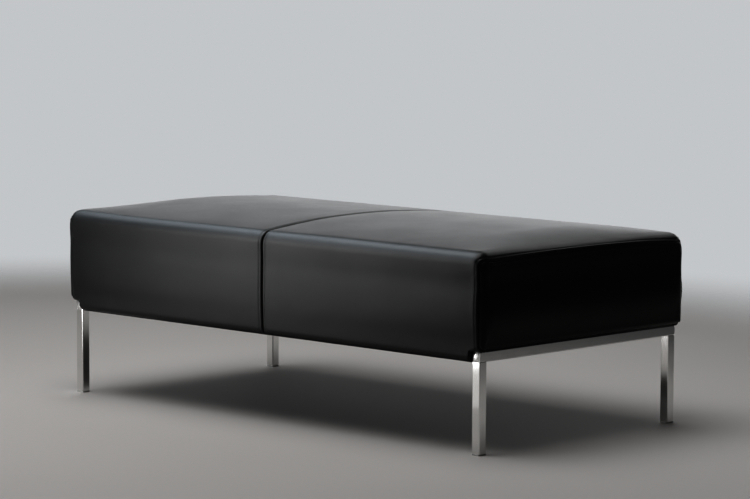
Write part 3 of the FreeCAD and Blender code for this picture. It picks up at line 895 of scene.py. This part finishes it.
def thicken(piece):
    wall = addWall(piece, seat["leather"], -1)
    bpy.context.view_layer.objects.active = piece
    with bpy.context.temp_override(object=piece, active_object=piece):
        bpy.ops.object.modifier_apply(modifier=wall.name)


def dressLeather(name, points, faces, relief, normals, cadNode):
    piece = newPiece(name, points + normals * relief[:, None], faces, leatherCoat)
    rub = np.clip((1 - np.abs(normals).max(axis=1)) / leather["rubLean"], 0, 1)
    piece.data.attributes.new("rub", "FLOAT", "POINT").data.foreach_set("value", rub.astype(np.float32))
    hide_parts(cadNode)
    return piece


def coverForm():  # the points of a cover, and how far each lies from the end seam
    shares = rowShares()
    rings = []
    gaps = []
    for topX, sideX, bottom, inner in coverColumns():
        rings.append(ringPoints(topX, sideX, bottom, inner))
        gaps.append(seamGap(sideRoll, sideX) * (1 - shares) + seamGap(topRoll, topX) * shares)
    rings = np.array(rings)
    gaps = np.array(gaps)
    under = rings[:, :, 2] < seat["ledge"] + seat["bottomRadius"]
    return settled(rings, under, np.minimum(gaps, rings[:, :, 0])), gaps


def buildCover(side, form, name, cadNode):
    rings, gaps = form
    points = rings.reshape(-1, 3) * (side, 1, 1)
    first, faces = mergeSame(points, gridFaces(*gaps.shape, side < 0))
    points = points[first] + cornerShift(points[first])
    gap = gaps.ravel()[first]
    normals = meshNormals(points, faces)
    relief = seamRelief(np.abs(points[:, 0])) + seamRelief(gap) + pullRelief(points, normals)
    share = np.clip((points[:, 2] - seat["underside"]) / seat["bottomRadius"], seam["flapShare"], 1)
    return dressLeather(name, points, faces, relief * share, normals, cadNode)


rightForm = coverForm()
rightCover = buildCover(1, rightForm, "rightCover", "right_cover")
leftCover = buildCover(-1, rightForm, "leftCover", "left_cover")  # the same form, mirrored
print("covers:", len(rightCover.data.polygons), "faces each")


panel = {
    "insets": [0, 0.6, 1.3, 2.1, 3.1, 4.3, 5.6, 7.0, 8.6, 10.4, 12.5, 15.5, 19.5, 24.5],  # mm
    "pitch": 6 * mm,
    "topCorner": seat["topRadius"] - seat["cornerEase"] * topRoll["drop"],
    "bottomCorner": seat["bottomRadius"],
    "bottom": seat["ledge"] + bottomRoll["drop"],
    "tuck": 0.5 * mm,  # how far the panel's sides start inside the covers' edge
    "matchReach": 22 * mm,  # how far in the panel's edge is fitted to the covers
    "flatRim": 4 * mm,  # beside the seam the panel lies flat, and over flatRun it takes its full form
    "flatRun": 20 * mm,
    "sideHeight": 0.17,  # the height over which it follows the profile of the sides
    "flapSteps": 3,
}


def panelLines(low, high):
    insets = [inset * mm for inset in panel["insets"]]
    count = round((high - low - 2 * insets[-1]) / panel["pitch"])
    middle = np.linspace(low + insets[-1], high - insets[-1], count + 1)[1:-1]
    return np.concatenate([[low + d for d in insets], middle, [high - d for d in reversed(insets)]])


def rollFace(roll, inset):  # how far out the face has come at that inset from the seam
    share = max(1 - (roll["drop"] + inset) / roll["radius"], 0)
    return roll["start"] + roll["radius"] * math.sqrt(1 - share ** 2)


def panelPoint(y, z, wide, high):
    fromSide = wide - abs(y)
    fromTop = high - z
    fromBottom = z - panel["bottom"]
    upper = fromTop < fromBottom
    radius = panel["topCorner"] if upper else panel["bottomCorner"]
    fromEdge = min(fromTop, fromBottom)
    edge = topRoll if upper else bottomRoll
    inset = min(fromSide, fromEdge)
    beside = fromSide <= fromEdge
    turn = 0.0 if beside else math.pi / 2
    rimSide = 0.0 if beside else fromSide
    rimEdge = fromEdge if beside else 0.0
    if fromSide < radius and fromEdge < radius:  # the rounded corners
        ring = radius - inset
        turn = math.pi / 4 * (radius - fromEdge) / ring
        if fromEdge < fromSide:
            turn = math.pi / 2 - math.pi / 4 * (radius - fromSide) / ring
        fromSide = radius - ring * math.cos(turn)
        fromEdge = radius - ring * math.sin(turn)
        rimSide = radius * (1 - math.cos(turn))
        rimEdge = radius * (1 - math.sin(turn))

    def spot(depth, sideways, level):
        sideX = rollFace(sideRoll, depth)
        x = sideX + (rollFace(edge, depth) - sideX) * turn / (math.pi / 2)
        return [x, math.copysign(wide - sideways, y), high - level if upper else panel["bottom"] + level]

    return spot(inset, fromSide, fromEdge), spot(0.0, rimSide, rimEdge), inset, upper or turn < math.pi / 4


def nearestOn(outline, spot):  # the nearest place on a line of points
    starts = outline[:-1]
    runs = np.diff(outline, axis=0)
    shares = ((spot - starts) * runs).sum(axis=1) / np.maximum((runs ** 2).sum(axis=1), 1e-12)
    places = starts + runs * np.clip(shares, 0, 1)[:, None]
    return places[np.argmin(((places - spot) ** 2).sum(axis=1))]


def fitEdge(points, rims, insets, outline):  # moves the panel's edge onto the covers' last section
    for k in np.flatnonzero(insets < panel["matchReach"]):
        shift = nearestOn(outline, rims[k]) - rims[k]
        points[k] += shift * (1 - insets[k] / panel["matchReach"]) ** 2


def addFlap(points, faces, yLines, rows):  # the strip drawn under from the panel's foot to the step
    flapEdge = seat["ledgeFlapEdge"]
    first = int(np.searchsorted(yLines, -flapEdge)) - 1
    last = int(np.searchsorted(yLines, flapEdge))
    upper = [c * rows for c in range(first, last + 1)]
    foot = points[upper]
    runs = [(bottomRoll["seam"], bottomRoll["start"]), (bottomRoll["start"], seat["step"])]
    strips = [points]
    total = len(points)
    for x in np.concatenate([np.linspace(*run, panel["flapSteps"] + 1)[1:] for run in runs]):
        strip = foot.copy()
        strip[:, 0] = x
        strip[:, 1] = np.clip(strip[:, 1], -flapEdge, flapEdge)
        strip[:, 2] = seat["ledge"] + rollDrop(x, bottomRoll["start"], bottomRoll["radius"])
        strips.append(strip)
        lower = list(range(total, total + len(foot)))
        faces.extend(zip(lower, lower[1:], upper[1:], upper))
        upper = lower
        total += len(foot)
    return np.concatenate(strips)


def buildPanel(side, name, cadNode):
    shape = sectionShape(topRoll["seam"])
    wide = sectionShape(sideRoll["seam"])["wide"] - panel["tuck"]
    high = shape["shoulder"] + shape["radius"]
    yLines = panelLines(-wide, wide)
    zLines = panelLines(panel["bottom"], high)
    size = (len(yLines), len(zLines))
    made = [panelPoint(y, z, wide, high) for y in yLines for z in zLines]
    points, rims, insets, sewn = (np.array(part) for part in zip(*made))
    outline = ringPoints(topRoll["seam"], sideRoll["seam"], panel["bottom"], 0.0)
    fitEdge(points, rims, insets, np.concatenate([outline, outline[:1]]))
    grid = settled(points.reshape(*size, 3), np.zeros(size, bool), insets.reshape(size))
    faces = gridFaces(*size)
    points = addFlap(grid.reshape(-1, 3), faces, yLines, len(zLines))
    gap = np.concatenate([np.where(sewn, insets, 1.0), np.ones(len(points) - len(insets))])
    points[:, 0] *= side
    points += cornerShift(points)
    if side < 0:
        faces = [face[::-1] for face in faces]
    normals = meshNormals(points, faces)
    form = pullRelief(points, normals) - sideOffset((points[:, 2] - seat["ledge"]) / panel["sideHeight"])
    relief = seamRelief(gap, 0.0) + np.clip((gap - panel["flatRim"]) / panel["flatRun"], 0, 1) * form
    relief[len(insets):] = 0
    return dressLeather(name, points, faces, relief, normals, cadNode)


rightPanel = buildPanel(1, "rightEndPanel", "right_end_panel")
leftPanel = buildPanel(-1, "leftEndPanel", "left_end_panel")
print("end panels:", len(rightPanel.data.polygons), "faces each")


stitch = {
    "pitch": 5.0 * mm,
    "length": 3.9 * mm,
    "radius": 0.42 * mm,
    "lift": 0.12 * mm,
    "sink": 0.5 * mm,
    "slant": 0.10,
    "endTaper": 0.85,
    "sides": 6,
    "rings": 5,
}


def surfaceOf(piece):
    points = [vertex.co.copy() for vertex in piece.data.vertices]
    return BVHTree.FromPolygons(points, [tuple(face.vertices) for face in piece.data.polygons])


def resample(line, pitch):
    run = runAlong(line)
    places = np.arange(pitch / 2, run[-1], pitch)
    return np.column_stack([np.interp(places, run, line[:, k]) for k in range(3)])


def addStitch(points, faces, middle, along, up):
    across = up.cross(along).normalized()
    start = len(points)
    for ring in range(stitch["rings"]):
        share = 2 * ring / (stitch["rings"] - 1) - 1
        arch = stitch["lift"] - (stitch["lift"] + stitch["sink"]) * share ** 4
        centre = middle + along * (share * stitch["length"] / 2) + up * arch
        centre += across * (share * stitch["slant"] * stitch["length"] / 2)
        radius = stitch["radius"] * math.sqrt(1 - stitch["endTaper"] * share ** 4)
        for k in range(stitch["sides"]):
            turn = 2 * math.pi * k / stitch["sides"]
            points.append(centre + across * (radius * math.cos(turn)) + up * (radius * math.sin(turn)))
    faces.extend(ringFaces(start, stitch["rings"], stitch["sides"]))


def sewRows(name, rows, cover):
    skin = surfaceOf(cover)
    points = []
    faces = []
    for line in rows:
        middles = resample(line, stitch["pitch"])
        for k in range(1, len(middles) - 1):
            along = Vector(middles[k + 1] - middles[k - 1]).normalized()
            spot, up = skin.find_nearest(Vector(middles[k]))[:2]
            addStitch(points, faces, spot, (along - up * along.dot(up)).normalized(), up)
    newPiece(name, points, faces, threadCoat)


def sectionLine(topX, sideX, bottom, side):  # the line over front, top and back, without the flaps
    skip = rowCounts["flap"] + rowCounts["bottomRoll"] - 2
    return ringPoints(topX, sideX, bottom, noFlap)[skip:-skip] * (side, 1, 1)


for side, name, cover in ((1, "right", rightCover), (-1, "left", leftCover)):
    centreRow = sectionLine(seam["rowPlace"], seam["rowPlace"], seat["underside"], side)
    endPlaces = [seamPlace(roll, seam["rowPlace"]) for roll in (topRoll, sideRoll)]
    endRow = sectionLine(*endPlaces, seat["ledge"], side)
    sewRows(name + "Topstitching", [centreRow, endRow], cover)
print("topstitching sewn")

for piece in (rightCover, leftCover, rightPanel, leftPanel):
    thicken(piece)


foamForm = {
    "depth": 3.2 * mm,  # below the leather's face
    "sideDepth": 5.4 * mm,
    "endDepth": (10 * mm, 4.5 * mm),  # under the drawn-in foot of the end panel, and at the deck
    "carcassX": 0.586,
    "carcassY": 0.2895,
    "low": 0.1815,
    "ledgeLow": 0.2015,
    "clear": 1 * mm,
    "middleReach": 0.46,  # the seat foam's even stretch, and the run of its rounded ends
    "endRun": 0.13,
    "middleStations": 30,
    "endStations": 14,
    "seatSideRows": 5,
    "sideShort": 9 * mm,  # how far the side foam stops before the bench's end
    "stepClear": 2 * mm,
    "stepRun": 0.2 * mm,
    "sideStations": (40, 8),  # before the step and after it
    "sideLevels": 12,
    "footTuck": 2 * mm,
    "endStart": 0.12,  # the share of the end foam's height where its swell starts
    "endSwell": 0.6,
    "endLevels": 8,
    "endRings": 24,
}


def mirrored(half):  # stations from the left end to the right one
    return [-x for x in reversed(half[1:])] + list(half)


def loftRings(name, rings, cadNode):  # through closed rings, each anticlockwise as seen from the last one
    points = np.concatenate(rings)
    points += cornerShift(points)
    piece = newPiece(name, points, ringFaces(0, len(rings), len(rings[0])), foamCoat)
    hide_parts(cadNode)


def foamStations():
    reach = halfLength - foamForm["depth"]
    middle = np.linspace(0, foamForm["middleReach"], foamForm["middleStations"])
    shares = np.linspace(0, 1, foamForm["endStations"])
    rounded = reach - foamForm["endRun"] * (1 - np.sin(shares * math.pi / 2))
    return mirrored(np.concatenate([middle, rounded]))


def buildSeatFoam():
    rings = []
    for x in foamStations():
        rows = sectionRows(x, seat["underside"] + foamForm["depth"], noFlap, foamForm["depth"])
        skip = len(rows) // 2 - rowCounts["crown"] - rowCounts["topRoll"] - foamForm["seatSideRows"]
        upper = rows[skip:len(rows) - skip]
        ends = np.array([[upper[0, 0], seat["deckTop"]], [upper[-1, 0], seat["deckTop"]]])
        ring = np.concatenate([ends[:1], upper, ends[1:]])[::-1]
        rings.append(np.column_stack([np.full(len(ring), x), ring]))
    loftRings("seatFoam", rings, "seat_foam")


def buildSideFoam(side, name, cadNode):
    rings = []
    reach = halfLength - foamForm["sideShort"]
    step = seat["step"] - foamForm["stepClear"]
    before, after = foamForm["sideStations"]
    middle = np.linspace(0, step, before)
    ends = np.linspace(step + foamForm["stepRun"], reach, after)
    for x in mirrored(np.concatenate([middle, ends])):
        low = foamForm["low"] if abs(x) <= step else foamForm["ledgeLow"]
        rows = sectionRows(x, low + foamForm["clear"], noFlap, foamForm["sideDepth"])
        skip = rowCounts["flap"] + rowCounts["bottomRoll"]
        outer = rows[skip:skip + rowCounts["lowSide"] + rowCounts["side"]]
        z = np.linspace(outer[0, 1], seat["deckTop"], foamForm["sideLevels"])
        y = np.interp(z, outer[:, 1], -outer[:, 0])
        y = np.maximum(y, foamForm["carcassY"] + foamForm["clear"])
        ring = [(foamForm["carcassY"], z[0])] + list(zip(y, z)) + [(foamForm["carcassY"], z[-1])]
        ring = np.array(ring) * (side, 1)
        rings.append(np.column_stack([np.full(len(ring), x), ring[::side]]))
    loftRings(name, rings, cadNode)


def buildEndFoam(side, name, cadNode):
    rings = []
    high = seat["deckTop"]
    low = foamForm["ledgeLow"]
    foot, head = foamForm["endDepth"]
    start = low + foamForm["clear"]
    outline = [(foamForm["carcassX"], start), (halfLength - foot - foamForm["footTuck"], start)]
    for share in np.linspace(foamForm["endStart"], 1, foamForm["endLevels"]):
        depth = foot + (head - foot) * share ** foamForm["endSwell"]
        outline.append((halfLength - depth, low + (high - low) * share))
    outline.append((foamForm["carcassX"], high))
    for y in np.linspace(-foamForm["carcassY"], foamForm["carcassY"], foamForm["endRings"]):
        ring = np.array([(side * x, y, z) for x, z in outline])
        rings.append(ring[::-side])
    loftRings(name, rings, cadNode)


buildSeatFoam()
buildSideFoam(-1, "frontFoam", "front_foam")
buildSideFoam(1, "backFoam", "back_foam")
buildEndFoam(1, "rightFoam", "right_foam")
buildEndFoam(-1, "leftFoam", "left_foam")
print("foam cut")


dust = {
    "hem": 10 * mm,
    "hemLift": 0.5 * mm,
    "drop": 0.25 * mm,  # below the top of the CAD's node
    "sag": 1.2 * mm,
    "sagPower": 0.6,
    "crease": 0.25 * mm,
    "creaseCap": 0.2 * mm,
    "creaseSize": 0.05,
    "thickness": 0.6 * mm,
    "columns": 97,
    "rows": 49,
    "staplePitch": 48 * mm,
    "stapleInset": 6 * mm,
    "stapleLength": 10 * mm,
    "stapleWidth": 1.1 * mm,
    "stapleHeight": 0.7 * mm,
    "stapleBend": 0.93,  # the share of the crown between its bends
    "stapleLevel": 2.2 * mm,  # below the top of the CAD's node
    "stapleFirst": (0.03, 0.05),  # from the corner, along the front and back and along the ends
    "stapleLast": (0.02, 0.04),
    "stapleStray": (3 * mm, 1 * mm, 0.18),  # in x, in y and in turn
    "stapleSeed": 4,
}


def buildDustCover():
    low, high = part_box("dust_cover")
    points = []
    for x in np.linspace(low.x, high.x, dust["columns"]):
        for y in np.linspace(low.y, high.y, dust["rows"]):
            bay = abs(math.sin(2 * math.pi * (x - low.x) / (high.x - low.x)))
            width = math.sin(math.pi * (y - low.y) / (high.y - low.y))
            edge = min(x - low.x, high.x - x, y - low.y, high.y - y)
            hang = dust["sag"] * bay ** dust["sagPower"] * max(width, 0) ** dust["sagPower"]
            crease = dust["crease"] * noise.noise(Vector((x, y, 0)) / dust["creaseSize"])
            hem = dust["hemLift"] * max(1 - edge / dust["hem"], 0)
            points.append((x, y, high.z - dust["drop"] - hang + min(crease, dust["creaseCap"]) - hem))
    faces = [face[::-1] for face in gridFaces(dust["columns"], dust["rows"])]
    piece = newPiece("dustCover", points, faces, dustCoat)
    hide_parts("dust_cover")
    addWall(piece, dust["thickness"], 1)
    return low, high


def addStaple(points, faces, middle, turn):  # a wire crown with its two ends bent up
    start = len(points)
    half = dust["stapleLength"] / 2
    bend = half * dust["stapleBend"]
    profile = [(-half, dust["stapleHeight"]), (-bend, 0), (bend, 0), (half, dust["stapleHeight"])]
    along = Vector((math.cos(turn), math.sin(turn), 0))
    across = Vector((-math.sin(turn), math.cos(turn), 0)) * (dust["stapleWidth"] / 2)
    for run, rise in profile:
        spot = middle + along * run + Vector((0, 0, rise))
        top = Vector((0, 0, dust["stapleHeight"]))
        points.extend([spot - across, spot + across, spot + across + top, spot - across + top])
    faces.extend(ringFaces(start, len(profile), 4))


def buildStaples(low, high):
    dice = random.Random(dust["stapleSeed"])
    points = []
    faces = []
    level = high.z - dust["stapleLevel"]
    inset = dust["stapleInset"]
    spots = []
    firstX, firstY = dust["stapleFirst"]
    lastX, lastY = dust["stapleLast"]
    for x in np.arange(low.x + firstX, high.x - lastX, dust["staplePitch"]):
        spots += [(x, low.y + inset, 0.0), (x, high.y - inset, 0.0)]
    for y in np.arange(low.y + firstY, high.y - lastY, dust["staplePitch"]):
        spots += [(low.x + inset, y, math.pi / 2), (high.x - inset, y, math.pi / 2)]
    for x, y, turn in spots:
        strayX, strayY, strayTurn = (dice.uniform(-reach, reach) for reach in dust["stapleStray"])
        addStaple(points, faces, Vector((x + strayX, y + strayY, level)), turn + strayTurn)
    piece = newPiece("dustStaples", points, faces, platedCoat)
    piece.data.shade_flat()


buildStaples(*buildDustCover())
print("dust cover stapled")


studio = {
    "floor": (0.60, 0.58, 0.565, 1.0),
    "floorShade": (0.52, 0.50, 0.485, 1.0),
    "floorMiddle": (-0.55, -0.25),
    "floorRadius": 2.9,
    "floorSides": 96,
    "floorFade": 1.2,  # the rim over which the floor fades into the studio
    "backdrop": (0.425, 0.435, 0.445, 1.0),
    "light": (0.98, 0.99, 1.0, 1.0),
    "bright": 1.70,  # the bright wall, which the top mirrors
    "dark": 0.055,
    "brightAim": (-0.66, 0.75),
    "brightSpread": (0.75, 1.0),  # the cosines from the aim where the wall starts and is full
    "brightHead": (0.08, 0.5, 1.0, 0.3),  # it fades between two heights, from one level to another
    "brightFoot": (-0.1, 0.04, 0.25, 1.0),
}


def buildFloor():
    reach = studio["floorRadius"]
    sides = studio["floorSides"]
    turns = np.linspace(0, 2 * math.pi, sides, endpoint=False)
    rim = [(reach * math.cos(turn), reach * math.sin(turn), 0) for turn in turns]
    mesh = bpy.data.meshes.new("floor")
    mesh.from_pydata(rim, [], [range(sides)])
    floor = linked("floor", mesh)
    floor.location = (*studio["floorMiddle"], 0)
    material, net = newFinish("paleFloor")
    place = net.place()
    speckle = net.cloud(place, 90.0, 4.0)
    patches = net.cloud(place, 1.5, 2.0)
    distance = net.node("ShaderNodeVectorMath", {"operation": "LENGTH"}, {0: place}, "Value")
    net.surface({
        "Base Color": net.tint(speckle * 0.25 + patches * 0.4, studio["floor"], studio["floorShade"]),
        "Roughness": 0.7 + 0.15 * speckle,
        "Specular IOR Level": 0.2,
        "Alpha": net.ease(distance, reach - studio["floorFade"], reach, 1.0, 0.0),
        "Normal": net.bump(speckle, 0.2 * mm, 0.2),
    })
    mesh.materials.append(material)
    return floor


def buildWorld():
    world = bpy.data.worlds.new("studio")
    bpy.context.scene.world = world
    world.use_nodes = True
    net = Net(world.node_tree)
    aim = net.node("ShaderNodeTexCoord", output="Generated")
    towards = net.axis(aim, 0) * studio["brightAim"][0] + net.axis(aim, 1) * studio["brightAim"][1]
    rise = net.axis(aim, 2)
    wall = net.ease(towards, *studio["brightSpread"])
    wall = wall * net.ease(rise, *studio["brightHead"]) * net.ease(rise, *studio["brightFoot"])
    level = studio["dark"] + (studio["bright"] - studio["dark"]) * wall
    room = net.node("ShaderNodeBackground", None, {"Color": studio["light"], "Strength": level})
    paper = net.node("ShaderNodeBackground", None, {"Color": studio["backdrop"], "Strength": 1.0})
    seen = net.node("ShaderNodeLightPath", output="Is Camera Ray")
    both = net.node("ShaderNodeMixShader", None, {0: seen, 1: room, 2: paper})
    net.node("ShaderNodeOutputWorld", None, {"Surface": both})


def addLamp(name, place, target, width, height, power, colour, lights):
    lamp = bpy.data.lights.new(name, "AREA")
    lamp.shape = "RECTANGLE"
    lamp.size = width
    lamp.size_y = height
    lamp.energy = power
    lamp.color = colour
    item = linked(name, lamp)
    item.location = place
    item.rotation_euler = (Vector(target) - Vector(place)).to_track_quat("-Z", "Y").to_euler()
    item.visible_camera = False
    if lights:
        item.light_linking.receiver_collection = lights


camera = {  # fitted to the legs and rails in the photograph
    "place": (4.61676, -4.76537, 1.01730),
    "yaw": 43.953,
    "pitch": 5.897,
    "roll": 0.276,
    "focal": 3190.1,  # in pixels of a frame 750 wide
    "frameWidth": 750,
    "sensor": 36.0,
}


def addCamera():
    yaw, pitch, tilt = (math.radians(camera[key]) for key in ("yaw", "pitch", "roll"))
    ahead = Vector((-math.sin(yaw) * math.cos(pitch), math.cos(yaw) * math.cos(pitch), -math.sin(pitch)))
    level = Vector((math.cos(yaw), math.sin(yaw), 0))
    above = level.cross(ahead)
    right = level * math.cos(tilt) + above * math.sin(tilt)
    up = above * math.cos(tilt) - level * math.sin(tilt)
    data = bpy.data.cameras.new("camera")
    data.sensor_fit = "HORIZONTAL"
    data.sensor_width = camera["sensor"]
    data.lens = camera["focal"] * camera["sensor"] / camera["frameWidth"]
    item = linked("camera", data)
    turn = Matrix((right, up, -ahead)).transposed().to_4x4()
    item.matrix_world = Matrix.Translation(camera["place"]) @ turn
    bpy.context.scene.camera = item


allButFloor = bpy.data.collections.new("allButFloor")  # a low lamp would burn a bright patch into the floor
allButFloor.objects.link(buildFloor())
allButFloor.collection_objects[0].light_linking.link_state = "EXCLUDE"
chromeOnly = bpy.data.collections.new("chromeOnly")
for nodeName, item in nodes.items():
    if nodeName.endswith(("_leg", "_frame_rail", "_cap")):
        chromeOnly.objects.link(item)
buildWorld()
white = (1.0, 1.0, 1.0)
skyBlue = (0.80, 0.91, 1.0)
paleBlue = (0.84, 0.93, 1.0)
lamps = {  # place, target, width, height, power, colour, and what it lights if not everything
    "frontSoftbox": ((-0.66, -1.02, 0.37), (0.05, -0.31, 0.29), 0.5, 0.6, 4.1, white, allButFloor),
    "frontWindow": ((-0.52, -0.98, 0.80), (0.2, -0.3, 0.3), 0.6, 0.6, 3.9, white, allButFloor),
    "leftSkylight": ((-1.8, -0.5, 2.3), (0.2, -0.3, 0.38), 2.4, 1.2, 34.0, skyBlue, allButFloor),
    "leftWindow": ((-1.5, -1.6, 1.3), (0.2, -0.3, 0.36), 1.0, 0.5, 1.5, paleBlue, allButFloor),
    "backSkylight": ((-0.2, 2.6, 2.5), (0.3, 0.0, 0.36), 2.2, 1.0, 9.0, white, allButFloor),
    "overhead": ((-0.5, -0.6, 2.9), (-0.3, -0.4, 0.0), 2.6, 2.4, 46.0, white, None),
    "cameraStrip": ((1.5, -3.6, 0.9), (0.0, 0.0, 0.15), 0.22, 1.4, 3.2, white, chromeOnly),
    "chromeGlow": ((-0.30, -1.20, 0.20), (0.58, -0.3, 0.18), 0.8, 0.40, 2.4, white, chromeOnly),
    "legGlow": ((0.20, -0.68, 0.150), (0.576, -0.296, 0.150), 0.32, 0.28, 0.047, white, chromeOnly),
    "legGlowHigh": ((0.20, -0.68, 0.174), (0.576, -0.296, 0.174), 0.32, 0.24, 0.040, white, chromeOnly),
}
for lampName, values in lamps.items():
    addLamp(lampName, *values)
addCamera()
bpy.context.scene.view_settings.view_transform = "Standard"
bpy.context.scene.view_settings.look = "High Contrast"
print("studio lit")
